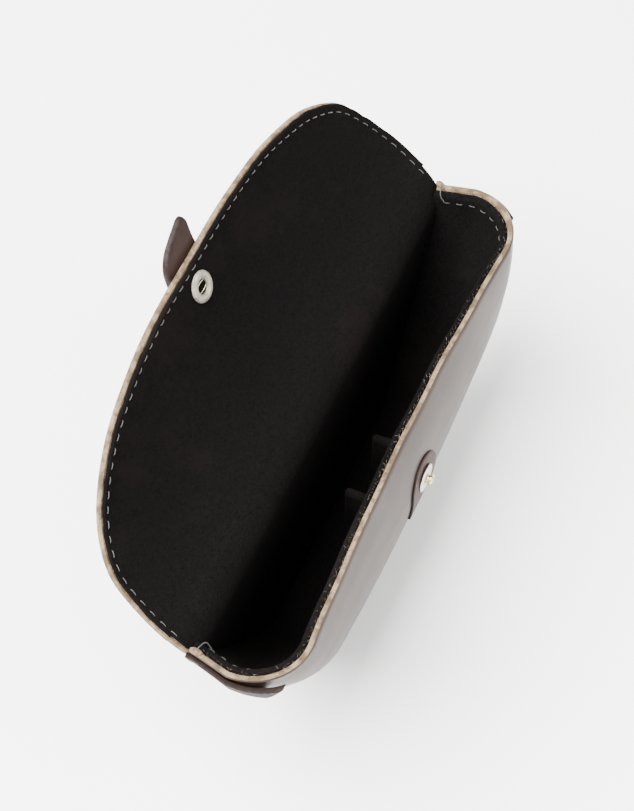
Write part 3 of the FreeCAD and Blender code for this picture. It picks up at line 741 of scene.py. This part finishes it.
def hinge_strip(inner_y, depth, floor, span_inset, rows=34, turn_rows=14):
    """A sheet up the back wall that turns over into the lid, as rows of points."""
    grid = []
    end = lid_point(0, SPLIT, depth)
    slope = math.tan(LID_START + SPLIT / LID_RADIUS)
    low_y, low_z = inner_y, -5.0
    mid = (inner_y, end[2] - (end[1] - inner_y) * slope)
    spots = [(inner_y, z) for z in np.linspace(floor - RIM_TALL, low_z, rows)]
    for t in np.linspace(0, 1, turn_rows + 1)[1:]:
        spots.append(tuple((1 - t) ** 2 * a + 2 * t * (1 - t) * b + t ** 2 * c for a, b, c in
                           zip((low_y, low_z), mid, end[1:])))
    for number, (y, z) in enumerate(spots):
        share = max(0.0, (number - rows + 1) / turn_rows)
        reach = level_at(min(z, 0.0))[0] - span_inset
        left, right = hinge_span(SPLIT * share)
        left = -reach * (1 - share) + (left + span_inset) * share
        right = reach * (1 - share) + (right - span_inset) * share
        row = []
        for column in np.linspace(0, 1, BACK_COLUMNS):
            x = left + (right - left) * column
            if number == len(spots) - 1:
                row.append(lid_point(x, SPLIT, depth))
            else:
                row.append((x, y + 0.12 * wave(column * 90, 0, z, 14, 6.1), z))
        grid.append(row)
    return grid


def back_pieces():
    """The back wall's leather and velvet, both running over the hinge into the lid."""
    leather = thick_sheet(
        "back_leather", hinge_strip(BACK_OUT, LID_LINING + LEATHER, 0.0, 0.0),
        hinge_strip(BACK_OUT - LEATHER, LID_LINING, 0.0, 0.0), (CRIMPED, RAW, RAW),
        ("top", "left", "right"), 0.3)
    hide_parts("back_panel", "hinge_fold")
    pad = thick_sheet(
        "back_velvet", hinge_strip(BACK_OUT - LEATHER - BACK_LINING, 0.0, LEATHER, 0.9),
        hinge_strip(BACK_OUT - LEATHER - 0.05, LID_LINING - 0.03, LEATHER, 0.9),
        (VELVET, VELVET, VELVET), ("left", "right"), 0.3)
    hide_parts("back_lining")
    cut_sheet(hinge_strip(BACK_OUT - LEATHER - BACK_LINING, 0.0, LEATHER, 0.9))
    for piece in (leather, pad):
        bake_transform(piece)
    return leather, pad


# ------------------------------------------------------------------ leather laid on the pocket

WING_TOP, WING_FOOT = -0.8, 14 - RIM_TALL
WING_REACH, WING_FOOT_REACH = 22.5, 1.0
WINGS = {"left": (-1, 1.5, 1.7), "right": (1, 0.9, 0.1)}


def end_wing(side):
    """A wrap of crimped leather from the back wall round one end, with a slanted front edge."""
    sign, thick, flare = WINGS[side]
    grids = []
    for lift in (thick, 0.05):
        grid = []
        for height in np.linspace(WING_TOP, WING_FOOT, 34):
            run = np.array(outline(height, -lift, SWAY * 0.6))
            run = run[run[:, 0] * sign > 0]
            run = run[np.argsort(-run[:, 1], kind="stable")]
            share = (height - WING_TOP) / (WING_FOOT - WING_TOP)
            reach = WING_REACH + (WING_FOOT_REACH - WING_REACH) * share
            reach += 0.25 * wave(0, 0, height, 9, 3.3)
            row = []
            for y in np.linspace(BACK_OUT - 0.1, -reach, 30):
                free = flare * max(0.0, -y / WING_REACH) ** 2 * (1 - share)
                x = np.interp(-y, -run[:, 1], run[:, 0]) + sign * free
                row.append((x, y - free * 0.5, height))
            grid.append(row)
        grids.append(grid)
    piece = thick_sheet("wing_" + side, grids[0], grids[1], (CRIMPED, BURNISHED, RAW),
                        ("top", "right", "bottom"), 0.35)
    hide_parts("end_wing_" + side)
    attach(piece, "case_body")
    return piece


def ruled(base, edge, surface, rows, depth):
    """A grid from a straight base out to an outline, both (x, along) lists, laid on a surface."""
    grid = []
    for share in np.linspace(0, 1, rows):
        row = np.array(base) + (np.array(edge) - np.array(base)) * share
        grid.append([surface(x, along, depth) for x, along in row])
    return grid


def evenly(points, count):
    """The same line with its points evenly spaced."""
    points = np.array(points, float)
    steps = np.r_[0, np.cumsum(np.hypot(*np.diff(points, axis=0).T))]
    at = np.linspace(0, steps[-1], count)
    return np.c_[np.interp(at, steps, points[:, 0]), np.interp(at, steps, points[:, 1])]


def front_wall(x, height, lift):
    """A point on the front wall's outside."""
    _, end, depth, corner, bow = level_at(height)
    return (x, -depth + bow * (1 - (x / (end - corner)) ** 2) - lift, height)


PATCH_HALF, PATCH_FOOT, PATCH_TOP, PATCH_THICK = 7.6, 30.2 - RIM_TALL, 46.8 - RIM_TALL, 0.7


def stud_patch():
    """The leather patch under the stud: square below and round above, its edge burnished."""
    centre = PATCH_TOP - PATCH_HALF
    edge = [(-PATCH_HALF, PATCH_FOOT + 0.4)]
    edge += [(-PATCH_HALF * math.cos(turn), centre + PATCH_HALF * math.sin(turn))
             for turn in np.linspace(0, math.pi, 40)]
    edge += [(PATCH_HALF, PATCH_FOOT + 0.4)]
    edge = evenly(edge, 70)
    base = np.c_[np.linspace(-PATCH_HALF, PATCH_HALF, 70), np.full(70, PATCH_FOOT)]
    piece = thick_sheet("stud_patch_leather", ruled(base, edge, front_wall, 20, PATCH_THICK),
                        ruled(base, edge, front_wall, 20, 0.03), (PATCH, BURNISHED, RAW),
                        ("top", "bottom"), 0.2)
    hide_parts("stud_patch")
    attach(piece, "case_body")
    return piece


TAB_ROOT, TAB_THICK = 38.0, 1.8


def tab_surface(x, along, depth):
    """The tab lies on the lid's leather and lifts away from it beyond the edge."""
    free = max(0.0, along - 51)
    return lid_point(x, along, depth + 0.012 * free ** 2 + 0.05)


def tab():
    """The pull tab: one corner nearly square and the other round, its edge burnished."""
    turns = ((-6.2, TAB_ROOT + 0.4), (-6.0, 46), (-5.4, 52.6), (-4.4, 55.6), (-1.8, 58.0), (1.8, 59.3),
             (5.2, 60.1), (7.6, 60.6), (8.9, 60.2), (9.1, 58.9), (8.5, 56.0), (8.3, 52), (8.4, 46),
             (8.4, TAB_ROOT + 0.4))
    curve = through(range(len(turns)), turns)
    edge = evenly([curve(t) for t in np.linspace(0, len(turns) - 1, 300)], 80)
    base = np.c_[np.linspace(edge[0, 0], edge[-1, 0], 80), np.zeros(80)]
    base[:, 1] = TAB_ROOT - 2.0 * np.sin(np.linspace(0, math.pi, 80))
    under = LID_LINING + LEATHER
    piece = thick_sheet("tab_leather", ruled(base, edge, tab_surface, 30, under + TAB_THICK),
                        ruled(base, edge, tab_surface, 30, under), (DARK, BURNISHED, DARK),
                        ("top", "bottom"), 0.4)
    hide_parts("pull_tab")
    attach(piece, "lid_flap")
    return piece


# ------------------------------------------------------------------ turned metal and the ribs

# Half sections of the metal, each (radius, height) over its own seat.
DISC = ((0.01, 0.02), (3.6, 0.02), (3.9, 0.16), (3.85, 0.34), (3.55, 0.48), (2.4, 0.52), (2.0, 0.66),
        (0.01, 0.66))
PETAL = ((0.2, 0.6), (1.1, 0.6), (1.1, 1.1), (1.55, 1.35), (1.6, 1.7), (1.4, 2.05), (1.0, 2.2),
         (0.2, 2.05))
RIVET = ((0.01, 0.0), (1.8, -0.02), (2.9, -0.12), (3.5, -0.4), (3.6, -0.66), (0.01, -0.66))
RING = ((1.96, 0.02), (4.0, 0.02), (4.12, 0.22), (4.05, 0.5), (3.75, 0.8), (3.3, 1.0), (2.9, 1.08),
        (2.6, 1.05), (2.3, 0.85), (2.02, 0.55), (1.94, 0.3))
CAP = ((0.01, 0.0), (5.0, 0.0), (5.2, 0.12), (5.15, 0.35), (4.7, 0.65), (3.8, 0.88), (2.4, 1.03),
       (0.8, 1.09), (0.01, 1.1))
SLIT = 0.14
SPRING_OUT, SPRING_HALF, SPRING_THICK, SPRING_HIGH = 1.1, 1.5, 0.14, 0.12

def loft(name, loops, material):
    """A closed skin over loops of points in metres, the first and last closed by a face."""
    count = len(loops[0])
    corners = [corner for loop in loops for corner in loop]
    faces = [list(range(count)),
             list(reversed(range(len(corners) - count, len(corners))))]
    for ring in range(len(loops) - 1):
        for turn in range(count):
            following = (turn + 1) % count
            faces.append([ring * count + following, ring * count + turn,
                          (ring + 1) * count + turn, (ring + 1) * count + following])
    return mesh_piece(name, corners, faces, [0] * len(faces), (material,))


def turned(name, half_section, seat, material, begin=0.0, end=2 * math.pi, sides=56):
    """A turned piece from (radius, height) pairs about a seat's own Z; part of a turn is a wedge."""
    whole = end - begin > 2 * math.pi - 0.01
    turns = np.linspace(begin, end, sides + (0 if whole else 1), endpoint=not whole)
    rings = [[seat @ Vector((radius * math.cos(turn) * MM, radius * math.sin(turn) * MM, height * MM))
              for radius, height in half_section] for turn in turns]
    if not whole:
        return loft(name, rings, material)
    count = len(half_section)
    corners = [corner for ring in rings for corner in ring]
    faces = []
    for ring in range(sides):
        following = (ring + 1) % sides
        for place in range(count):
            beside = (place + 1) % count
            faces.append([ring * count + place, following * count + place,
                          following * count + beside, ring * count + beside])
    return mesh_piece(name, corners, faces, [0] * len(faces), (material,))


def seat_on(point, up):
    """A frame at a point whose Z is up."""
    return Matrix.Translation(point) @ up.to_track_quat("Z", "Y").to_matrix().to_4x4()


def stud():
    """The snap's stud: a flat disc and a head split in four."""
    wall = Vector(front_wall(0, -STUD_DROP, PATCH_THICK))
    seat = seat_on(placed(*wall), Vector((0, -1, 0)))
    parts = [turned("disc", DISC, seat, NICKEL)]
    for quarter in range(4):
        begin = quarter * math.pi / 2 + SLIT
        parts.append(turned("petal", PETAL, seat, PALE_GOLD, begin,
                            begin + math.pi / 2 - 2 * SLIT, 10))
    piece = joined("stud_and_head", parts)
    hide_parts("snap_stud")
    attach(piece, "case_body")
    return piece


def rivet():
    """The stud's rivet, inside the pocket."""
    wall = Vector(front_wall(0, -STUD_DROP, 0)) + Vector((0, LEATHER + LINING + 0.68, 0))
    seat = seat_on(placed(*wall), Vector((0, 1, 0)))
    piece = turned("rivet", RIVET, seat, NICKEL)
    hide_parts("stud_rivet")
    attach(piece, "case_body")
    return piece


def lid_seat(along, depth, outward):
    """A seat on the lid at a station and depth, facing out of the leather or out of the velvet."""
    point = Vector(lid_point(SOCKET_X, along, depth))
    beyond = Vector(lid_point(SOCKET_X, along, depth + 1))
    up = (beyond - point).normalized() * (1 if outward else -1)
    return seat_on(placed(*point), up)


def socket():
    """The snap's socket ring in the velvet, its hole bevelled, with its spring across."""
    seat = lid_seat(SOCKET_AT, 0.0, False)
    parts = [turned("ring", RING, seat, WORN_RING)]
    for offset in (-SPRING_OUT, SPRING_OUT):
        loops = []
        for x in np.linspace(-SPRING_HALF, SPRING_HALF, 9):
            bend = offset * (1 - 0.18 * (x / SPRING_HALF) ** 2)
            loops.append([seat @ Vector((x * MM, (bend + SPRING_THICK * math.cos(turn)) * MM,
                                         (SPRING_HIGH + SPRING_THICK * math.sin(turn)) * MM))
                          for turn in np.linspace(0, 2 * math.pi, 9)[:-1]])
        parts.append(loft("spring", loops, PALE_GOLD))
    piece = joined("socket_ring", parts)
    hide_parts("snap_socket")
    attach(piece, "lid_flap")
    return piece


def cap():
    """The snap's cap on the outside of the tab."""
    seat = lid_seat(SOCKET_AT, LID_LINING + LEATHER + TAB_THICK + 0.05, True)
    piece = turned("cap", CAP, seat, NICKEL)
    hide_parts("snap_cap")
    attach(piece, "lid_flap")
    return piece


RIB_GAP, RIB_HALF, RIB_TOP, RIB_TALL, RIB_REACH = 18.0, 1.2, 22.0, 16.0, 10.0


def rib(side, sign):
    """A velvet-covered rib on the inside of the front wall."""
    loops = []
    middle = sign * RIB_GAP / 2
    for share in np.linspace(0, 1, 22):
        height = -RIB_TOP - RIB_TALL * share
        near = min(share, 1 - share) * RIB_TALL
        soft = math.sqrt(max(0.02, 1 - (1 - min(near / 0.9, 1)) ** 2))
        half = RIB_HALF * (0.35 + 0.65 * soft)
        wall = front_wall(middle, height, -(LEATHER + LINING) + 0.3)[1]
        nose = -RIB_REACH - (1 - soft) * 0.6
        loop = [(middle + half, wall), (middle + half, nose - half)]
        loop += [(middle + half * math.cos(turn), nose - half + half * math.sin(turn))
                 for turn in np.linspace(0.3, math.pi - 0.3, 9)]
        loop += [(middle - half, nose - half), (middle - half, wall)]
        loops.append([placed(x, y, height + 0.05 * wave(x, y, height, 2, 4)) for x, y in loop])
    piece = loft("rib_" + side, loops, VELVET)
    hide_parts("nose_rib_" + side)
    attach(piece, "case_body")
    return piece


# ------------------------------------------------------------------ stitching

STITCH_LONG, STITCH_PITCH, STITCH_IN, THREAD_THICK = 2.35, 3.4, 1.5, 0.13


def one_stitch():
    """A single stitch: a thread that rises out of its hole, lies flat and dips into the next."""
    loops = []
    for t in np.linspace(0, 1, 11):
        x = (t - 0.5) * STITCH_LONG
        z = 0.22 - 0.75 * (abs(2 * t - 1) ** 4)
        round_by = THREAD_THICK * (0.8 + 0.2 * math.sin(math.pi * t))
        loops.append([Vector((x, round_by * math.cos(turn) * 1.05, z + round_by * 0.85 * math.sin(turn)))
                      * MM for turn in np.linspace(0, 2 * math.pi, 9)[:-1]])
    return loft("one_stitch", loops, THREAD)


def line_tree(name, more=()):
    """The start of a node tree along a line: its inputs, and evenly spaced points on the line."""
    tree = bpy.data.node_groups.new(name, "GeometryNodeTree")
    for label, kind in (("Line", "Geometry"), ("Pitch", "Float"), *more, ("Shape", "Object"),
                        ("Finish", "Material")):
        tree.interface.new_socket(label, in_out="INPUT", socket_type="NodeSocket" + kind)
    tree.interface.new_socket("Row", in_out="OUTPUT", socket_type="NodeSocketGeometry")
    ask = tree.nodes.new("NodeGroupInput")
    curve = node(tree, "GeometryNodeMeshToCurve", Mesh=ask.outputs["Line"])
    even = node(tree, "GeometryNodeResampleCurve", {"mode": "LENGTH"}, Curve=curve.outputs[0],
                Length=ask.outputs["Pitch"])
    return tree, ask, even.outputs[0]


def chance(tree, low, high, seed):
    """A number or a vector drawn at random for each point."""
    vector = isinstance(low, tuple)
    made = node(tree, "FunctionNodeRandomValue", {"data_type": "FLOAT_VECTOR" if vector else "FLOAT"},
                Seed=seed)
    first = 0 if vector else 2
    made.inputs[first].default_value = low
    made.inputs[first + 1].default_value = high
    return made.outputs[0 if vector else 1]


def laid_out(tree, ask, points, turn, size):
    """The end of a node tree: the shape on each point, made real and given its finish."""
    shape = node(tree, "GeometryNodeObjectInfo", Object=ask.outputs["Shape"])
    spread = node(tree, "GeometryNodeInstanceOnPoints", Points=points,
                  Instance=shape.outputs["Geometry"], Rotation=turn, Scale=size)
    real = node(tree, "GeometryNodeRealizeInstances", n0=spread.outputs[0])
    finish = node(tree, "GeometryNodeSetMaterial", Geometry=real.outputs[0],
                  Material=ask.outputs["Finish"])
    link(tree, finish.outputs[0], tree.nodes.new("NodeGroupOutput").inputs[0])
    return tree


def stitch_rows():
    """Stitches that follow the line and stand on the up direction that its points carry."""
    tree, ask, points = line_tree("stitch_row")
    up = node(tree, "GeometryNodeInputNamedAttribute", {"data_type": "FLOAT_VECTOR"}, Name="up")
    tangent = node(tree, "GeometryNodeInputTangent")
    along = node(tree, "FunctionNodeAlignRotationToVector", {"axis": "X"}, Vector=tangent.outputs[0])
    upright = node(tree, "FunctionNodeAlignRotationToVector", {"axis": "Z", "pivot_axis": "X"},
                   Rotation=along.outputs[0], Vector=up.outputs[0])
    return laid_out(tree, ask, points, upright.outputs[0], chance(tree, 0.9, 1.06, 7))


def fibre_rows():
    """Short fibres scattered along the line, tilted and turned at random."""
    tree, ask, points = line_tree("fibre_row", (("Spread", "Vector"),))
    reach = node(tree, "ShaderNodeVectorMath", {"operation": "MULTIPLY"},
                 n0=chance(tree, (-1, -1, -1), (1, 1, 1), 11), n1=ask.outputs["Spread"])
    moved = node(tree, "GeometryNodeSetPosition", Geometry=points, Offset=reach.outputs[0])
    turn = chance(tree, (-FIBRE_TILT, -FIBRE_TILT, 0), (FIBRE_TILT, FIBRE_TILT, 2 * math.pi), 23)
    return laid_out(tree, ask, moved.outputs[0], turn, chance(tree, 0.35, 1.2, 5))


FIBRE_TILT = 1.1
STITCH_ROWS, FIBRE_ROWS = stitch_rows(), fibre_rows()


def grown(name, line, tree, values, ups=None):
    """The plain mesh that a node tree makes along a line of points in millimetres."""
    mesh = bpy.data.meshes.new("line")
    mesh.from_pydata([tuple(placed(*point)) for point in line],
                     [(first, first + 1) for first in range(len(line) - 1)], [])
    if ups is not None:
        carried = mesh.attributes.new("up", "FLOAT_VECTOR", "POINT")
        carried.data.foreach_set("vector", np.array(ups, float).ravel())
    row = bpy.data.objects.new("line", mesh)
    bpy.context.scene.collection.objects.link(row)
    layer = row.modifiers.new("grow", "NODES")
    layer.node_group = tree
    for socket in tree.interface.items_tree:
        if socket.name in values:
            layer[socket.identifier] = values[socket.name]
    bpy.context.view_layer.update()
    seen = row.evaluated_get(bpy.context.evaluated_depsgraph_get())
    made = bpy.data.meshes.new_from_object(seen)
    made.name = name
    if ups is not None:
        made.attributes.remove(made.attributes["up"])
    piece = bpy.data.objects.new(name, made)
    bpy.context.scene.collection.objects.link(piece)
    bpy.data.objects.remove(row)
    return piece


def stitched(name, line, ups, stitch):
    """A row of stitches along a line of points in millimetres."""
    values = {"Pitch": STITCH_PITCH * MM, "Shape": stitch, "Finish": THREAD}
    return grown(name, line, STITCH_ROWS, values, ups)


def one_fibre():
    """A short bent fibre."""
    loops = []
    for t in np.linspace(0, 1, 4):
        thick = 0.045 * (1 - 0.6 * t)
        loops.append([Vector((0.22 * t * t + thick * math.cos(turn), thick * math.sin(turn),
                              0.75 * t)) * MM for turn in (0, 2.1, 4.2)])
    return loft("one_fibre", loops, LINT)


def rim_fuzz():
    """Raised tan fibres on the cut rim, pile on the rolled velvet and lint between the two."""
    fibre = one_fibre()
    layers = (("rim_fibres", LEATHER * 0.75, -0.15, 0.45, (0.3, 0.3, 0.08), RAW, "brown_leather"),
              ("rim_pile", LEATHER + LINING * 0.5, -0.55, 0.11, (0.8, 0.8, 0.1), VELVET, "velvet"),
              ("rim_lint", LEATHER + 0.35, -0.3, 0.6, (0.5, 0.5, 0.1), LINT, "velvet"))
    for name, inset, height, pitch, spread, finish, slot in layers:
        line = [(x, y, height) for x, y, _ in outline(0, inset, SWAY) if y < -0.5]
        values = {"Pitch": pitch * MM, "Spread": tuple(part * MM for part in spread),
                  "Shape": fibre, "Finish": finish}
        piece = grown(name, line, FIBRE_ROWS, values)
        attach(piece, "case_body")
    bpy.data.objects.remove(fibre)


def lid_stitches(stitch):
    """The row along the lid's edge, on the velvet side."""
    further = 1.2 / (1 + np.exp(-(edge_curve()[:, 0] - 50) / 6))
    seam = edge_curve((STITCH_IN + further)[:, None])
    seam = seam[(seam[:, 1] > SPLIT - 0.5)][::4]
    line, ups = [], []
    for x, along in seam:
        on, above = np.array(lid_point(x, along, 0.0)), np.array(lid_point(x, along, -1.0))
        line.append(on)
        ups.append(above - on)
    piece = stitched("lid_stitches", line, ups, stitch)
    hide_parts("lid_stitching", "flap_stitching")
    fold_piece(piece)
    return piece


RIM_SEAM_DROP = 2.4


def rim_stitches(stitch):
    """The row round the inside of the pocket, just under its rim."""
    seam = outline(-RIM_SEAM_DROP, LEATHER + LINING, SWAY * 0.79)
    seam = [point for point in seam if point[1] < -3.2]
    line = np.array(seam)
    run = np.gradient(line, axis=0)
    ups = np.c_[-run[:, 1], run[:, 0], np.zeros(len(run))]
    ups /= np.linalg.norm(ups, axis=1)[:, None]
    middle = len(line) // 2
    if ups[middle, 1] < 0:
        ups = -ups
    piece = stitched("rim_stitches", line, ups, stitch)
    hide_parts("rim_stitching")
    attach(piece, "case_body")
    return piece


def thread_tail(name, knots, thick, body):
    """A loose end of thread along a smooth path through a few points in millimetres."""
    curve = through(range(len(knots)), knots)
    path = [Vector(curve(t)) for t in np.linspace(0, len(knots) - 1, 26)]
    loops = []
    for number, point in enumerate(path):
        ahead = path[min(number + 1, 25)] - path[max(number - 1, 0)]
        turn_to = ahead.to_track_quat("Z", "Y")
        loops.append([placed(*(point + turn_to @ Vector((thick * math.cos(turn),
                                                         thick * math.sin(turn), 0))))
                      for turn in np.linspace(0, 2 * math.pi, 9)[:-1]])
    piece = loft(name, loops, THREAD)
    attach(piece, body)
    return piece


def hinge_corners():
    """At both ends of the hinge: a nub of raw leather and the seam's last loops of thread."""
    reach = LEVELS[-1][1]
    for side, sign in (("left", -1), ("right", 1)):
        loops = []
        for t in np.linspace(0, 1, 12):
            swell = 0.3 + 0.7 * math.sin(math.pi * min(max(t, 0.02), 0.98)) ** 0.5
            middle = Vector((sign * (reach - 0.7 + 0.2 * t), -2.6 + 3.0 * t, -0.5 + 1.2 * t))
            loops.append([placed(*(middle + Vector((0.95 * swell * math.cos(turn)
                                                    + 0.12 * wave(turn, t, 0, 0.4, sign), 0,
                                                    1.1 * swell * math.sin(turn)))))
                          for turn in np.linspace(0, 2 * math.pi, 13)[:-1]])
        nub = loft("nub_" + side, loops, RAW)
        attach(nub, "case_body")
        inside = reach - LEATHER - LINING
        thread_tail("loop_" + side, [(sign * (reach - 0.2), -1.2, 0.4), (sign * (reach - 1.6), -1.4, 1.15),
                                     (sign * (inside - 0.2), -2.1, 0.1), (sign * (inside - 0.3), -3.4, -2.2)],
                    0.15, "case_body")


# ------------------------------------------------------------------ build

stage()
body_leather()
body_velvet()
lid_pieces()
back_pieces()
for side, sign in (("left", -1), ("right", 1)):
    end_wing(side)
    rib(side, sign)
stud_patch()
tab()
stud()
rivet()
socket()
cap()
stitch = one_stitch()
lid_stitches(stitch)
rim_stitches(stitch)
bpy.data.objects.remove(stitch)
hinge_corners()
rim_fuzz()

bpy.context.view_layer.update()
